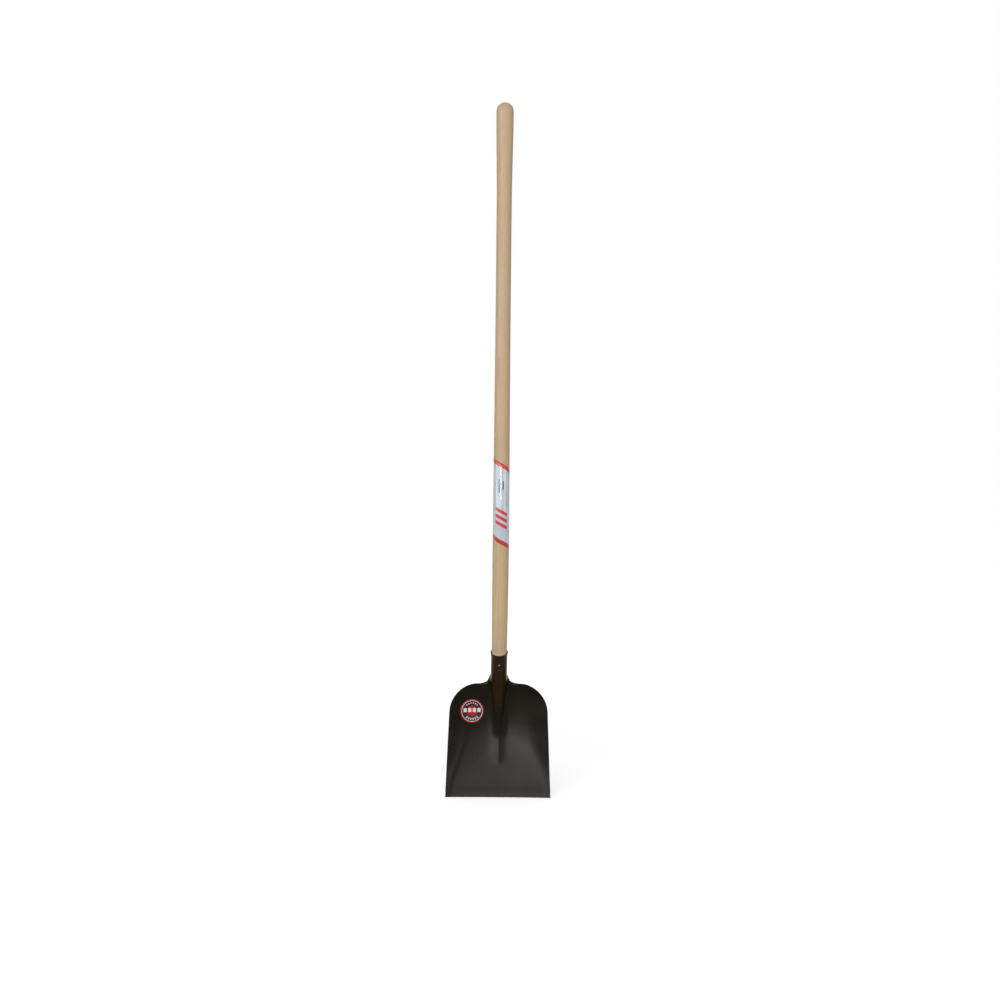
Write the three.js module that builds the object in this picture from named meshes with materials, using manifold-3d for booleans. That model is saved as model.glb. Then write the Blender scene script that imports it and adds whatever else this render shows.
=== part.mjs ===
// Concrete shovel: a pressed steel blade with a rolled socket, on a bent ash handle.
// Millimetres. The shovel stands on its cutting edge, with the handle up along +Z, the loading
// face towards -Y and +X to the right of someone who looks at that face.

import * as THREE from 'three';
import { mergeVertices } from 'three/addons/utils/BufferGeometryUtils.js';
import Module from 'manifold-3d';

const wasm = await Module();
wasm.setup();

// Blade sheet
const sheet = 1.8;              // gauge of the steel
const edgeSheet = 0.8;          // what grinding leaves at the cutting edge
const groundStrip = 9;          // height of the ground strip above the cutting edge

// Blade outline, seen from the front
const edgeWidth = 234;          // along the cutting edge
const shoulderHeight = 250.8;   // highest line of the shoulders
const shoulderRadius = 66;      // of the two rounded top corners
const crownOffset = 43.5;       // from the middle to where a shoulder is highest

// Pan: the loading face hollowed along and across
const edgeTilt = 28 * Math.PI / 180;   // how far the sheet leans back at its cutting edge
const panRadius = 390;          // of the hollow along the blade
const edgeDish = 4;             // hollow across the blade at the cutting edge
const bodyDish = 14;            // hollow across the blade's upper half
const dishRise = 190;           // height over which the hollow deepens
const wallSlope = 0.42;         // rise of the turned-up sides
const edgeWall = 4;             // width of a turned-up side at the cutting edge
const bodyWall = 32;            // its width halfway up
const crownWall = 6;            // its width at the top of the shoulder
const wallRise = 140;           // height over which it widens
const wallFillet = 12;          // half width of the soft crease where it starts

// Ridge: the swelling that carries the socket's round into the pan
const ridgeFoot = 246;          // height of the pan line where the socket's wings leave it
const noseHeight = 130;         // where the ridge narrows to its rib
const ribEnd = 66;              // where the rib dies out
const ribRound = 14;            // length of the rib's rounded end
const ribHeight = 1.9;
const ribHalfWidth = 26;        // out to where its hollow flanks end
const ribRoundShare = 0.14;     // share of that width in the round over the crest
const roundWidening = 1.6;      // power by which the round widens from the ridge's nose
const flattestFlank = 0.6 * Math.PI / 180; // where the rib has died out
const valleyRadius = 5.5;       // between the ridge and a wing, at the neck
const neckTilt = 27 * Math.PI / 180;   // of the neck's sections, from level
const noseLean = 9 * Math.PI / 180;    // of the ridge's crest at its nose, towards the front
const noseReach = 34;           // how far the crest keeps that lean
const crestReach = 40;          // how far the socket's lean reaches down the crest

// Socket: the tongue of the sheet, rolled to a tube that is open along its back
const socketDiameter = 36;
const socketLean = 34 * Math.PI / 180; // of the socket's axis, towards the front
const neckLength = 46;          // over which the tongue unrolls
const neckCrowding = 1.6;       // power by which the neck's sections crowd at its foot
const neckDip = 27 * Math.PI / 180;    // how far the neck's sections lie down between its ends
const turnPower = 1.2;          // power by which the wings' turn to the back follows the rolling
const waistCutShare = 0.5;      // how much narrower the tongue's wings are cut at its waist
const socketLength = 97;        // from the ridge foot's crest to the rim
const mouthFlare = 1.4;         // how far the rim is belled out
const mouthLength = 14;
const rimRise = 2;              // of the rim's front above its middle, from the slanted cut
const seamGap = 2;              // between the rolled edges at the back

// Handle
const handleLength = 1300;
const insertDepth = 82;         // length of the handle inside the socket
const tipDiameter = 19;
const tipLength = 30;           // length of the pointed tip
const tipRound = 3;
const shoulderStep = 10;        // from the rim up to the end of the shoulder cut on the wood
const mouthDiameter = 32.4;     // of the wood where it enters the rim
const rimDiameter = 34.2;       // of the wood just above that shoulder
const bellyDiameter = 35.4;
const waistDiameter = 32.6;
const gripDiameter = 37.4;
const bellyShare = 0.215;       // places along the handle, from the tip
const waistStartShare = 0.675;
const waistEndShare = 0.829;
const gripShare = 0.983;
const straightAboveRim = 10;    // before the bend starts
const bendRadius = 590;         // of the steam-bent lower part

// Label round the handle
const film = 0.3;
const labelAboveRim = 266;      // from the rim to its lower edge, along the front of the wood
const labelLength = 172;
const labelSlant = 28 * Math.PI / 180; // of its cut ends, round the handle
const labelSeam = 2;            // left bare along the back

// Round sticker on the blade
const stickerDiameter = 54;
const stickerX = -59.8;
const stickerHeight = 187.4;
const stickerFilm = 0.3;
const stickerGap = 0.5;         // under it, where the pan hollows most

// Nail through the socket
const nailHead = 5.4;           // diameter
const nailDome = 1.4;           // height of the head's dome above its rim
const nailRim = 0.5;
const nailShank = 3;            // diameter
const nailLength = 24;          // below the head
const nailPoint = 5;            // length of the point
const nailDepth = 24;           // from the socket's rim down to the nail

// Clearances
const gap = 0.3;                // between touching pieces
const overrun = 3;              // how far a drill reaches past what it cuts
const weld = 0.0001;            // points closer than this are one point

// Mesh fineness, in counts
const panRows = 24;
const neckRows = 10;
const socketRows = 7;
const easeRows = 3;             // of the neck, above its foot
const easePasses = 4;
const crestColumns = 5;
const valleyColumns = 4;
const wingColumns = 10;
const handleSides = 24;
const handleRows = 50;
const labelRows = 10;
const labelColumns = 30;
const stickerRings = 4;
const stickerSides = 32;
const nailSides = 16;
const domeSteps = 4;

const columns = crestColumns + valleyColumns + wingColumns;
const cornerHeight = shoulderHeight - shoulderRadius;
const socketRadius = (socketDiameter - sheet) / 2;
const neckReach = socketRadius + valleyRadius;
const groundShift = (sheet - edgeSheet) / 2 / Math.cos(edgeTilt); // of the ground edge, to the back

function smooth(share) {
  const held = Math.min(Math.max(share, 0), 1);
  return held * held * (3 - 2 * held);
}

function mix(from, to, share) {
  return from + (to - from) * share;
}

// Half width of the blade's straight sides at a height, run on above the corners.
function sideHalfWidth(z) {
  return mix(edgeWidth / 2, crownOffset + shoulderRadius, z / cornerHeight);
}

// How far a point of the front view lies inside the blade's outline.
function insideOutline(x, z) {
  const across = Math.abs(x) - crownOffset;
  const up = z - cornerHeight;
  if (up < 0) return sideHalfWidth(z) - Math.abs(x);
  return shoulderRadius - Math.hypot(Math.max(across, 0), up);
}

// Depth of the pan's middle line. The ground face of the cutting edge is centred on the origin.
function panLine(z) {
  const lean = Math.asin(z / panRadius - Math.sin(edgeTilt));
  return panRadius * (Math.cos(lean) - Math.cos(edgeTilt)) - groundShift;
}

// Depth of the pan at a point of the front view: the middle line, less the rise of the sides.
function panDepth(x, z) {
  const dish = mix(edgeDish, bodyDish, smooth(z / dishRise));
  const across = x / sideHalfWidth(z);
  const toCrown = smooth((z - cornerHeight) / shoulderRadius);
  const wallWidth = mix(mix(edgeWall, bodyWall, smooth(z / wallRise)), crownWall, toCrown);
  const past = wallWidth - insideOutline(x, z);
  let climb = 0;
  if (past > wallFillet) climb = past;
  else if (past > -wallFillet) climb = (past + wallFillet) ** 2 / (4 * wallFillet);
  return panLine(z) - dish * across * across - wallSlope * climb;
}

// Outward direction of the loading face at a point of the front view, from the pan's slopes.
function panNormal(x, z) {
  const step = sheet;
  const alongX = (panDepth(x + step, z) - panDepth(x - step, z)) / (2 * step);
  const alongZ = (panDepth(x, z + step) - panDepth(x, z - step)) / (2 * step);
  return new THREE.Vector3(alongX, -1, alongZ).normalize();
}

// The side view's lines: the pan's foot at the neck, the crest there and the way up the socket.
const backward = new THREE.Vector3(0, Math.cos(neckTilt), Math.sin(neckTilt));
const neckFoot = new THREE.Vector3(0, panDepth(0, ridgeFoot), ridgeFoot);
const neckCrest = neckFoot.clone().addScaledVector(backward, -neckReach);
const upSocket = new THREE.Vector3(0, -Math.sin(socketLean), Math.cos(socketLean));
const behindSocket = new THREE.Vector3(0, Math.cos(socketLean), Math.sin(socketLean));

// Crest of the ridge, from its nose up to the neck.
const noseFoot = new THREE.Vector3(0, panDepth(0, noseHeight), noseHeight);
const nose = noseFoot.clone().addScaledVector(panNormal(0, noseHeight), ribHeight);
const upNose = new THREE.Vector3(0, -Math.sin(noseLean), Math.cos(noseLean));
const crestCurve = new THREE.CubicBezierCurve3(
  nose,
  nose.clone().addScaledVector(upNose, noseReach),
  neckCrest.clone().addScaledVector(upSocket, -crestReach),
  neckCrest
);

// Crest of the ridge or rib beside a height of the pan line.
function crestPoint(z) {
  if (z > noseHeight) return crestCurve.getPoint((z - noseHeight) / (ridgeFoot - noseHeight));
  const rise = ribHeight * smooth((z - ribEnd) / ribRound);
  return new THREE.Vector3(0, panDepth(0, z), z).addScaledVector(panNormal(0, z), rise);
}

// Share of the way up from the ridge's nose to the neck.
function aboveNose(z) {
  return Math.max((z - noseHeight) / (ridgeFoot - noseHeight), 0);
}

// Outline of the right half, from the cutting corner to the shoulder's crown.
const outline = new THREE.Path();
outline.moveTo(edgeWidth / 2, 0);
outline.lineTo(crownOffset + shoulderRadius, cornerHeight);
outline.absarc(crownOffset, cornerHeight, shoulderRadius, 0, Math.PI / 2, false);

// Right half of one row of the pan, from the ridge's crest out to the blade's edge.
// The ridge's flank is two equal-angled arcs: round over the crest, hollow in the valley.
function panRow(share) {
  const corner = outline.getPointAt(share);
  const foot = ridgeFoot * share;
  const crest = crestPoint(foot);
  const footPoint = new THREE.Vector3(0, panDepth(0, foot), foot);
  const drop = footPoint.clone().sub(crest);
  const height = drop.length();
  const halfWidth = mix(ribHalfWidth, neckReach, aboveNose(foot));
  const flank = Math.max(2 * Math.atan2(height, halfWidth), flattestFlank);
  const roundShare = mix(ribRoundShare, socketRadius / neckReach, aboveNose(foot) ** roundWidening);
  const row = [];
  for (let j = 0; j <= columns; j++) {
    let x;
    let sunk;
    if (j <= crestColumns) {
      const turn = flank * j / crestColumns;
      x = halfWidth * roundShare * Math.sin(turn) / Math.sin(flank);
      sunk = roundShare * (1 - Math.cos(turn)) / (1 - Math.cos(flank));
    } else if (j <= crestColumns + valleyColumns) {
      const turn = flank * (crestColumns + valleyColumns - j) / valleyColumns;
      x = halfWidth * (1 - (1 - roundShare) * Math.sin(turn) / Math.sin(flank));
      sunk = 1 - (1 - roundShare) * (1 - Math.cos(turn)) / (1 - Math.cos(flank));
    } else {
      x = mix(halfWidth, corner.x, (j - crestColumns - valleyColumns) / wingColumns);
      sunk = 1;
    }
    const z = mix(foot, corner.y, (x / corner.x) ** 2);
    row.push(new THREE.Vector3(x, panDepth(x, z), z).addScaledVector(drop, sunk - 1));
  }
  return row;
}

// The last row of the pan as lengths and directions of its steps, in the neck's own section.
const openRow = panRow(1);
const forwardUp = new THREE.Vector3(0, -Math.sin(neckTilt), Math.cos(neckTilt));
const openSteps = openRow.slice(1).map((point, j) => {
  const step = point.clone().sub(openRow[j]);
  const back = step.dot(backward);
  const length = Math.hypot(step.x, back);
  return { length, heading: Math.atan2(back, step.x), climb: step.dot(forwardUp) };
});

// The same number of steps round a half of the rolled socket.
function rolledSteps(radius) {
  const end = Math.PI - seamGap / (2 * radius);
  const turns = [];
  for (let j = 0; j <= columns; j++) {
    const past = (j - crestColumns) / (columns - crestColumns);
    turns.push(j <= crestColumns ? Math.PI / 2 * j / crestColumns : mix(Math.PI / 2, end, past));
  }
  return turns.slice(1).map((turn, j) => ({
    length: 2 * radius * Math.sin((turn - turns[j]) / 2),
    heading: (turn + turns[j]) / 2,
    climb: 0
  }));
}

// Outer radius of the rolled sheet's middle at a distance below the rim.
function tubeRadius(below) {
  const mouth = Math.max(1 - below / mouthLength, 0);
  return socketRadius + mouthFlare * mouth * mouth;
}

// How much a row of the socket slants towards the slanted rim: its front is raised by this.
function frontRise(up) {
  return rimRise * smooth((up - neckLength) / (socketLength - neckLength));
}

// Right half of a row of the neck or socket: how far up the crest it starts, and how far the
// tongue is rolled there. A neck row lies flatter than the socket's, so it cuts the round longer.
function socketRow(up, rolled) {
  const dip = neckDip * Math.sin(Math.PI * rolled) * (1 - rolled);
  const tilt = mix(neckTilt, socketLean, rolled) - dip;
  const behind = new THREE.Vector3(0, Math.cos(tilt), Math.sin(tilt)).divideScalar(Math.cos(dip));
  const above = new THREE.Vector3(0, -Math.sin(tilt), Math.cos(tilt));
  const radius = tubeRadius(socketLength - up);
  const tube = rolledSteps(radius);
  const point = neckCrest.clone().addScaledVector(upSocket, up);
  point.addScaledVector(behindSocket, socketRadius - radius);
  const axis = point.clone().addScaledVector(behindSocket, radius);
  const waist = waistCutShare * Math.sin(Math.PI * rolled);
  const row = [point.clone()];
  for (let j = 0; j < columns; j++) {
    const onWing = j >= crestColumns;
    const turned = onWing ? rolled ** turnPower : rolled;
    const cut = onWing ? 1 - waist : 1;
    const heading = mix(openSteps[j].heading, tube[j].heading, turned);
    const length = mix(openSteps[j].length, tube[j].length, rolled) * cut;
    point.x += length * Math.cos(heading);
    point.addScaledVector(behind, length * Math.sin(heading));
    point.addScaledVector(above, openSteps[j].climb * (1 - rolled));
    row.push(point.clone());
  }
  const slant = -frontRise(up) / radius;
  return row.map((place) =>
    place.addScaledVector(upSocket, slant * place.clone().sub(axis).dot(behindSocket)));
}

function mirrored(half) {
  const left = half.slice(1).reverse().map((point) => new THREE.Vector3(-point.x, point.y, point.z));
  return left.concat(half);
}

function solidGeometry(positions, faces) {
  const geometry = new THREE.BufferGeometry();
  geometry.setAttribute('position', new THREE.Float32BufferAttribute(positions, 3));
  geometry.setIndex(faces);
  return geometry;
}

// A closed plate between two grids of points, the front one and the back one.
function plateGeometry(front, back) {
  const rows = front.length;
  const across = front[0].length;
  const positions = [];
  for (const grid of [front, back]) {
    for (const row of grid) {
      for (const point of row) positions.push(point.x, point.y, point.z);
    }
  }
  const atFront = (i, j) => i * across + j;
  const atBack = (i, j) => (rows + i) * across + j;
  const faces = [];
  const quad = (a, b, c, d) => faces.push(a, b, c, a, c, d);
  for (let i = 0; i + 1 < rows; i++) {
    for (let j = 0; j + 1 < across; j++) {
      quad(atFront(i, j), atFront(i, j + 1), atFront(i + 1, j + 1), atFront(i + 1, j));
      quad(atBack(i, j), atBack(i + 1, j), atBack(i + 1, j + 1), atBack(i, j + 1));
    }
    quad(atFront(i, 0), atFront(i + 1, 0), atBack(i + 1, 0), atBack(i, 0));
    const last = across - 1;
    quad(atFront(i, last), atBack(i, last), atBack(i + 1, last), atFront(i + 1, last));
  }
  for (let j = 0; j + 1 < across; j++) {
    quad(atFront(0, j), atBack(0, j), atBack(0, j + 1), atFront(0, j + 1));
    const last = rows - 1;
    quad(atFront(last, j), atFront(last, j + 1), atBack(last, j + 1), atBack(last, j));
  }
  return solidGeometry(positions, faces);
}

// Eases the sheet's turn where the neck leaves the pan: time and again, each point of the rows
// there moves towards the middle of its neighbours up and down the sheet.
function easeFoot(grid) {
  for (let pass = 0; pass < easePasses; pass++) {
    const before = grid.map((row) => row.map((point) => point.clone()));
    for (let i = panRows; i <= panRows + easeRows; i++) {
      grid[i].forEach((point, j) => {
        const between = before[i - 1][j].clone().lerp(before[i + 1][j], 0.5);
        point.lerp(between, 0.5);
      });
    }
  }
}

// Directions square to a grid of points, towards the front.
function gridNormals(grid) {
  return grid.map((row, i) => row.map((point, j) => {
    const across = row[Math.min(j + 1, row.length - 1)].clone().sub(row[Math.max(j - 1, 0)]);
    const below = grid[Math.max(i - 1, 0)][j];
    const above = grid[Math.min(i + 1, grid.length - 1)][j];
    return across.cross(above.clone().sub(below)).normalize();
  }));
}

function toManifold(geometry) {
  const bare = geometry.clone();
  bare.deleteAttribute('normal');
  bare.deleteAttribute('uv');
  const merged = mergeVertices(bare, weld);
  return new wasm.Manifold(new wasm.Mesh({
    numProp: 3,
    vertProperties: new Float32Array(merged.attributes.position.array),
    triVerts: new Uint32Array(merged.index.array)
  }));
}

function toGeometry(manifold) {
  const mesh = manifold.getMesh();
  return solidGeometry(Array.from(mesh.vertProperties), Array.from(mesh.triVerts));
}

// The handle's line in the side view, by distance from its tip: straight in the socket, bent
// back above it, and straight again up to the grip.
const rimCentre = neckCrest.clone()
  .addScaledVector(upSocket, socketLength)
  .addScaledVector(behindSocket, socketRadius);
const bendStart = insertDepth + straightAboveRim;
const bendLength = bendRadius * socketLean;

function handlePoint(along) {
  const lean = handleLean(along);
  const straight = Math.min(along, bendStart) - insertDepth;
  const point = rimCentre.clone().addScaledVector(upSocket, straight);
  point.y -= bendRadius * (Math.cos(lean) - Math.cos(socketLean));
  point.z += bendRadius * (Math.sin(socketLean) - Math.sin(lean));
  point.z += Math.max(along - bendStart - bendLength, 0);
  return point;
}

function handleLean(along) {
  const bent = Math.min(Math.max(along - bendStart, 0), bendLength);
  return socketLean - bent / bendRadius;
}

// Places a point given round and along the handle: x to the right, y to the back.
function besideHandle(x, y, along) {
  const lean = handleLean(along);
  const point = handlePoint(along);
  point.x += x;
  point.y += y * Math.cos(lean);
  point.z += y * Math.sin(lean);
  return point;
}

// Stations of the wood's diameter, each with a level tangent, from the socket to the grip.
const fitDiameter = socketDiameter - 2 * sheet - 2 * gap;
const woodStations = [
  [tipLength, fitDiameter],
  [insertDepth - mouthLength, fitDiameter],
  [insertDepth, mouthDiameter],
  [insertDepth + shoulderStep, rimDiameter],
  [handleLength * bellyShare, bellyDiameter],
  [handleLength * waistStartShare, waistDiameter],
  [handleLength * waistEndShare, waistDiameter],
  [handleLength * gripShare, gripDiameter]
];

function woodRadius(along) {
  if (along <= tipLength) return mix(tipDiameter, fitDiameter, along / tipLength) / 2;
  for (let i = 1; i < woodStations.length; i++) {
    const [start, from] = woodStations[i - 1];
    const [end, to] = woodStations[i];
    if (along <= end) return mix(from, to, smooth((along - start) / (end - start))) / 2;
  }
  return gripDiameter / 2;
}

function buildBlade() {
  const middle = [];
  for (let i = 0; i < panRows; i++) middle.push(mirrored(panRow(i / panRows)));
  for (let i = 0; i < neckRows; i++) {
    const rolled = i / neckRows;
    middle.push(mirrored(socketRow(neckLength * rolled ** neckCrowding, rolled)));
  }
  for (let i = 0; i <= socketRows; i++) {
    middle.push(mirrored(socketRow(mix(neckLength, socketLength, i / socketRows), 1)));
  }
  easeFoot(middle);
  const normals = gridNormals(middle);
  const groundLift = (z) => (sheet - edgeSheet) * Math.max(1 - z / groundStrip, 0);
  const front = middle.map((row, i) => row.map((point, j) =>
    point.clone().addScaledVector(normals[i][j], sheet / 2 - groundLift(point.z))));
  const back = middle.map((row, i) => row.map((point, j) =>
    point.clone().addScaledVector(normals[i][j], -sheet / 2)));
  // The cutting edge is ground level: its points slide along the sheet down to the ground.
  for (const grid of [front, back]) {
    grid[0].forEach((point, j) => {
      const alongSheet = grid[1][j].clone().sub(point);
      point.addScaledVector(alongSheet, -point.z / alongSheet.z);
      point.z = 0;
    });
  }
  const hole = nailDrill(-sheet / 2 - overrun, sheet / 2 + overrun);
  return toGeometry(toManifold(plateGeometry(front, back)).subtract(hole));
}

// The nail's own frame: on the middle of the socket's sheet, with +Y running into the wood.
const nailFrame = new THREE.Matrix4().makeBasis(new THREE.Vector3(1, 0, 0), behindSocket, upSocket)
  .setPosition(neckCrest.clone().addScaledVector(upSocket, socketLength - nailDepth));

function nailDrill(from, to) {
  const radius = nailShank / 2 + gap;
  const drill = new THREE.CylinderGeometry(radius, radius, to - from, nailSides);
  return toManifold(drill.translate(0, (from + to) / 2, 0).applyMatrix4(nailFrame));
}

function buildHandle() {
  const profile = [new THREE.Vector2(0, 0), new THREE.Vector2(tipDiameter / 2 - tipRound, 0)];
  const rounded = new THREE.Vector2(woodRadius(tipRound), tipRound);
  profile.push(rounded);
  const breaks = [tipLength, insertDepth - mouthLength, insertDepth, insertDepth + shoulderStep];
  const knobRadius = gripDiameter / 2;
  const knobStart = handleLength - knobRadius;
  for (let i = 1; i < handleRows; i++) breaks.push(mix(tipRound, knobStart, i / handleRows));
  breaks.sort((a, b) => a - b);
  for (const along of breaks) profile.push(new THREE.Vector2(woodRadius(along), along));
  const knobSteps = handleSides / 4;
  for (let i = 0; i < knobSteps; i++) {
    const turn = Math.PI / 2 * i / knobSteps;
    profile.push(new THREE.Vector2(knobRadius * Math.cos(turn), knobStart + knobRadius * Math.sin(turn)));
  }
  profile.push(new THREE.Vector2(0, handleLength));
  const lathe = new THREE.LatheGeometry(profile, handleSides);
  const place = lathe.attributes.position;
  for (let i = 0; i < place.count; i++) {
    const bent = besideHandle(place.getX(i), -place.getZ(i), place.getY(i));
    place.setXYZ(i, bent.x, bent.y, bent.z);
  }
  return toGeometry(toManifold(lathe).subtract(nailDrill(-overrun, nailLength - sheet / 2)));
}

// The film round the handle: its ends run down to the right, its seam lies at the back.
function buildLabel() {
  const grid = (clear) => {
    const rows = [];
    for (let i = 0; i <= labelRows; i++) {
      const row = [];
      for (let j = 0; j <= labelColumns; j++) {
        const seam = labelSeam / rimDiameter;
        const turn = mix(seam - Math.PI, Math.PI - seam, j / labelColumns);
        const start = insertDepth + labelAboveRim - rimDiameter / 2 * turn * Math.tan(labelSlant);
        const along = start + labelLength * i / labelRows;
        const radius = woodRadius(along) + clear;
        row.push(besideHandle(radius * Math.sin(turn), -radius * Math.cos(turn), along));
      }
      rows.push(row);
    }
    return rows;
  };
  return plateGeometry(grid(gap + film), grid(gap));
}

// The round sticker, laid on the pan's hollow.
function buildSticker() {
  const centre = new THREE.Vector3(stickerX, panDepth(stickerX, stickerHeight), stickerHeight);
  const facing = panNormal(stickerX, stickerHeight);
  const right = new THREE.Vector3(0, 0, 1).cross(facing).normalize();
  const up = facing.clone().cross(right);
  const grid = (lift) => {
    const rings = [];
    for (let i = 0; i <= stickerRings; i++) {
      const ring = [];
      const radius = stickerDiameter / 2 * i / stickerRings;
      for (let j = 0; j <= stickerSides; j++) {
        const turn = -2 * Math.PI * j / stickerSides;
        const point = centre.clone().addScaledVector(right, radius * Math.cos(turn));
        point.addScaledVector(up, radius * Math.sin(turn));
        point.y = panDepth(point.x, point.z);
        ring.push(point.addScaledVector(panNormal(point.x, point.z), sheet / 2 + lift));
      }
      rings.push(ring);
    }
    return rings;
  };
  return toGeometry(toManifold(plateGeometry(grid(stickerGap + stickerFilm), grid(stickerGap))));
}

// The nail through the front of the socket: domed head, shank and point.
function buildNail() {
  const seat = -sheet / 2 - gap;
  const profile = [];
  for (let i = 0; i <= domeSteps; i++) {
    const turn = Math.PI / 2 * i / domeSteps;
    const height = nailRim + nailDome * Math.cos(turn);
    profile.push(new THREE.Vector2(nailHead / 2 * Math.sin(turn), seat - height));
  }
  profile.push(new THREE.Vector2(nailHead / 2, seat));
  profile.push(new THREE.Vector2(nailShank / 2, seat));
  profile.push(new THREE.Vector2(nailShank / 2, seat + nailLength - nailPoint));
  profile.push(new THREE.Vector2(0, seat + nailLength));
  return new THREE.LatheGeometry(profile, nailSides).applyMatrix4(nailFrame);
}

const material = (color, roughness, metalness) =>
  new THREE.MeshStandardMaterial({ color, roughness, metalness });

const shovel = new THREE.Group();

function addPiece(name, geometry, finish) {
  const mesh = new THREE.Mesh(geometry, finish);
  mesh.name = name;
  shovel.add(mesh);
}

addPiece('blade', buildBlade(), material(0x2c2a24, 0.4, 0.6));
addPiece('handle', buildHandle(), material(0xbea88c, 0.5, 0));
addPiece('socket_nail', buildNail(), material(0xb9b7b0, 0.35, 0.9));
addPiece('handle_label', buildLabel(), material(0xcdd6db, 0.3, 0));
addPiece('blade_sticker', buildSticker(), material(0xb3202a, 0.4, 0));

export default shovel;
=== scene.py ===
# %% [markdown]
# # A concrete shovel
#
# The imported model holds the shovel's five pieces at their real size. This lesson keeps them as
# its frame and makes what the eye sees: black lacquered steel, turned ash, a glossy film label,
# a vinyl sticker and a bright nail. The frame is loaded first and stays as it is.

# %% Load the frame
import math

import bmesh
import bpy
from mathutils import Matrix, Vector
from mathutils.bvhtree import BVHTree
from mathutils.kdtree import KDTree


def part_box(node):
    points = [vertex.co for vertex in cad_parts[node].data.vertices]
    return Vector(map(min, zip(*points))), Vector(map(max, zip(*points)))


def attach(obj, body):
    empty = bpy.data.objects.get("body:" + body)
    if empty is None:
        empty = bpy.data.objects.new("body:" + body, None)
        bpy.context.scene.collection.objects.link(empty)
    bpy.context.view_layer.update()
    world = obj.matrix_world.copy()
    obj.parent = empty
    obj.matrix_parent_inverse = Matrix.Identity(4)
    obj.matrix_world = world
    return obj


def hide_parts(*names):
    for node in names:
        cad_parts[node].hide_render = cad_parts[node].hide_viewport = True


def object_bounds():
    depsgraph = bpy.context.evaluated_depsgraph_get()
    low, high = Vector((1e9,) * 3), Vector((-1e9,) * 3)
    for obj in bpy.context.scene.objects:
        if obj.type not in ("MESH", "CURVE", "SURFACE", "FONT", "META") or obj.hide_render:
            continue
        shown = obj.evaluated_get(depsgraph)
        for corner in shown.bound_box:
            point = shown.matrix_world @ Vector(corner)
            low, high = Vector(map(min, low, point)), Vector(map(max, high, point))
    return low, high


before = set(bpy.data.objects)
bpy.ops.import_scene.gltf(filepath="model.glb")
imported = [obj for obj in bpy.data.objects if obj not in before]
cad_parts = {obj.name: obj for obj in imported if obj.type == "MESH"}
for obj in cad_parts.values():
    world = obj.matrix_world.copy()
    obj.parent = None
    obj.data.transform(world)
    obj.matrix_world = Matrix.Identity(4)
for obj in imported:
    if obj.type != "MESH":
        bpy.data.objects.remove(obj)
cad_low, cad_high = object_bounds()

print("frame nodes:", sorted(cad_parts))

# %% [markdown]
# ## The camera
#
# The photograph is a level front view from about four metres, with the shovel in the middle
# and its top leaning half a degree to the right. A camera a little below the shovel's middle
# gives the same view. It stands half a degree to the left, because the blade lies further back
# than the grip and shows a little left of it, and a small roll gives the lean. A short
# function makes each object of this lesson and links it to the scene.

# %% Camera
CAMERA_PLACE = (-0.041, -4.111, 0.663)
CAMERA_LENS = 66.36          # millimetres, on a sensor 36 mm wide
CAMERA_TURN = math.radians(-0.55)
CAMERA_ROLL = math.radians(0.57)


def new_object(name, data):
    made = bpy.data.objects.new(name, data)
    bpy.context.scene.collection.objects.link(made)
    return made


camera_data = bpy.data.cameras.new("camera")
camera_data.lens = CAMERA_LENS
camera = new_object("camera", camera_data)
camera.location = CAMERA_PLACE
levelled = Matrix.Rotation(CAMERA_TURN, 3, "Z") @ Matrix.Rotation(math.pi / 2, 3, "X")
camera.rotation_euler = (levelled @ Matrix.Rotation(CAMERA_ROLL, 3, "Z")).to_euler()
bpy.context.scene.camera = camera
bpy.context.scene.view_settings.view_transform = "Standard"
print("camera lens", CAMERA_LENS, "mm")

# %% [markdown]
# ## Helpers for materials
#
# Every finish here is a small graph of nodes. Written out in full, such graphs are long and
# hard to read, so a few helpers make one node each and join it to what comes before. An input
# takes either the output of another node or a value that is the same all over the surface.

# %% Node helpers
def new_material(name):
    made = bpy.data.materials.new(name)
    made.use_nodes = True
    tree = made.node_tree
    return made, tree, tree.nodes["Principled BSDF"]


def set_inputs(tree, node, inputs):
    for key, value in inputs.items():
        if isinstance(value, bpy.types.NodeSocket):
            tree.links.new(value, node.inputs[key])
        else:
            node.inputs[key].default_value = value


def add_node(tree, kind, inputs, **settings):
    node = tree.nodes.new("ShaderNode" + kind)
    for key, value in settings.items():
        setattr(node, key, value)
    set_inputs(tree, node, inputs)
    return node


def calc(tree, operation, first, second=0.0):
    return add_node(tree, "Math", {0: first, 1: second}, operation=operation).outputs[0]


def times(tree, first, second):
    return calc(tree, "MULTIPLY", first, second)


def either(tree, first, second):
    return calc(tree, "MAXIMUM", first, second)


def fade(tree, value, start, end, low=0.0, high=1.0):
    """Runs smoothly from low, where the value is at its start, to high, where it is at its end."""
    ends = {"Value": value, "From Min": start, "From Max": end, "To Min": low, "To Max": high}
    return add_node(tree, "MapRange", ends, interpolation_type="SMOOTHSTEP").outputs[0]


def inside(tree, value, middle, half_width, softness):
    """One where the value is within the half width of the middle, and nothing elsewhere."""
    away = calc(tree, "ABSOLUTE", calc(tree, "SUBTRACT", value, middle))
    return fade(tree, away, half_width + softness, half_width - softness)


def stretched(tree, place, scale):
    return add_node(tree, "Mapping", {"Vector": place, "Scale": scale}).outputs[0]


def noise(tree, place, scale, detail=3.0):
    inputs = {"Vector": place, "Scale": scale, "Detail": detail}
    return add_node(tree, "TexNoise", inputs).outputs["Fac"]


def blended(tree, share, first, second):
    return add_node(tree, "Mix", {0: share, 6: first, 7: second}, data_type="RGBA").outputs[2]


def bumped(tree, height, depth, below=None):
    inputs = {"Height": height, "Distance": depth}
    if below:
        inputs["Normal"] = below
    return add_node(tree, "Bump", inputs).outputs[0]


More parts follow.
